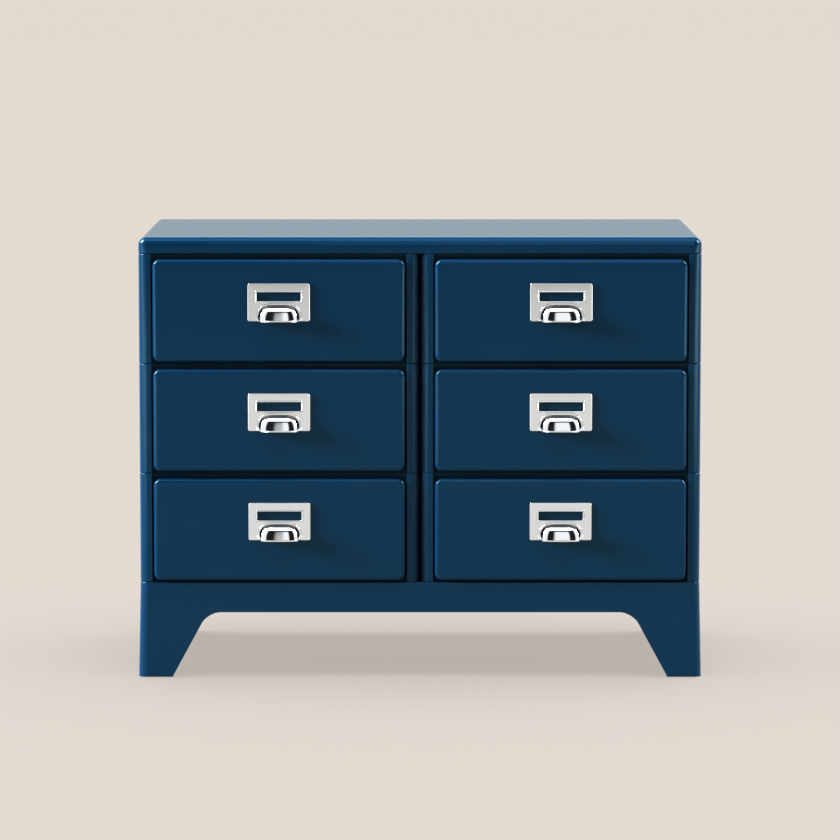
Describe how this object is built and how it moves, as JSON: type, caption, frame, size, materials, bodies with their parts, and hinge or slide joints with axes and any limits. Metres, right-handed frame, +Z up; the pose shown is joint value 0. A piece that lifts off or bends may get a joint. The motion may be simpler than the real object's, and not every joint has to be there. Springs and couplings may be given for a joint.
{
  "type": "drawer cabinet",
  "caption": "Low steel chest of drawers in two columns on a flared leg base, with rounded drawer fronts, label windows and chrome cup pulls.",
  "frame": {"origin": "on the floor under the middle of the box round the whole cabinet, handles included", "axes": "+X along the width to the right as seen from the front, +Y to the back, +Z up"},
  "size_m": [0.7498, 0.415, 0.5871],
  "materials": {
    "navy_enamel": "glossy baked enamel on pressed steel",
    "handle_chrome": "polished chrome plate",
    "zinc_plate": "bright zinc plate",
    "nylon": "moulded nylon",
    "rubber": "black rubber"
  },
  "bodies": {
    "cabinet": {"top_panel": "navy_enamel", "top_stiffeners": "zinc_plate", "base_frame": "navy_enamel", "base_centre_rail": "navy_enamel", "foot_glides": "nylon", "stack_bolts": "zinc_plate", "stack_nuts": "zinc_plate", "column_bolts": "zinc_plate", "column_spacers": "rubber", "column_nuts": "zinc_plate", "slide_pads": "nylon", "rear_bumpers": "rubber", "bottom_left_casing": "navy_enamel", "bottom_right_casing": "navy_enamel", "middle_left_casing": "navy_enamel", "middle_right_casing": "navy_enamel", "top_left_casing": "navy_enamel", "top_right_casing": "navy_enamel", "bottom_left_runners": "navy_enamel", "bottom_right_runners": "navy_enamel", "middle_left_runners": "navy_enamel", "middle_right_runners": "navy_enamel", "top_left_runners": "navy_enamel", "top_right_runners": "navy_enamel"},
    "bottom_left_drawer": {"bottom_left_front": "navy_enamel", "bottom_left_tray": "navy_enamel", "bottom_left_tray_sides": "navy_enamel", "bottom_left_rear_glides": "nylon", "bottom_left_handle": "handle_chrome", "bottom_left_handle_screws": "zinc_plate"},
    "bottom_right_drawer": {"bottom_right_front": "navy_enamel", "bottom_right_tray": "navy_enamel", "bottom_right_tray_sides": "navy_enamel", "bottom_right_rear_glides": "nylon", "bottom_right_handle": "handle_chrome", "bottom_right_handle_screws": "zinc_plate"},
    "middle_left_drawer": {"middle_left_front": "navy_enamel", "middle_left_tray": "navy_enamel", "middle_left_tray_sides": "navy_enamel", "middle_left_rear_glides": "nylon", "middle_left_handle": "handle_chrome", "middle_left_handle_screws": "zinc_plate"},
    "middle_right_drawer": {"middle_right_front": "navy_enamel", "middle_right_tray": "navy_enamel", "middle_right_tray_sides": "navy_enamel", "middle_right_rear_glides": "nylon", "middle_right_handle": "handle_chrome", "middle_right_handle_screws": "zinc_plate"},
    "top_left_drawer": {"top_left_front": "navy_enamel", "top_left_tray": "navy_enamel", "top_left_tray_sides": "navy_enamel", "top_left_rear_glides": "nylon", "top_left_handle": "handle_chrome", "top_left_handle_screws": "zinc_plate"},
    "top_right_drawer": {"top_right_front": "navy_enamel", "top_right_tray": "navy_enamel", "top_right_tray_sides": "navy_enamel", "top_right_rear_glides": "nylon", "top_right_handle": "handle_chrome", "top_right_handle_screws": "zinc_plate"}
  },
  "joints": [
    {"name": "bottom_left_drawer_slide", "type": "slide", "parent": "cabinet", "child": "bottom_left_drawer", "axis": [0, -1, 0], "range_m": [0, 0.28]},
    {"name": "bottom_right_drawer_slide", "type": "slide", "parent": "cabinet", "child": "bottom_right_drawer", "axis": [0, -1, 0], "range_m": [0, 0.28]},
    {"name": "middle_left_drawer_slide", "type": "slide", "parent": "cabinet", "child": "middle_left_drawer", "axis": [0, -1, 0], "range_m": [0, 0.28]},
    {"name": "middle_right_drawer_slide", "type": "slide", "parent": "cabinet", "child": "middle_right_drawer", "axis": [0, -1, 0], "range_m": [0, 0.28]},
    {"name": "top_left_drawer_slide", "type": "slide", "parent": "cabinet", "child": "top_left_drawer", "axis": [0, -1, 0], "range_m": [0, 0.28]},
    {"name": "top_right_drawer_slide", "type": "slide", "parent": "cabinet", "child": "top_right_drawer", "axis": [0, -1, 0], "range_m": [0, 0.28]}
  ]
}
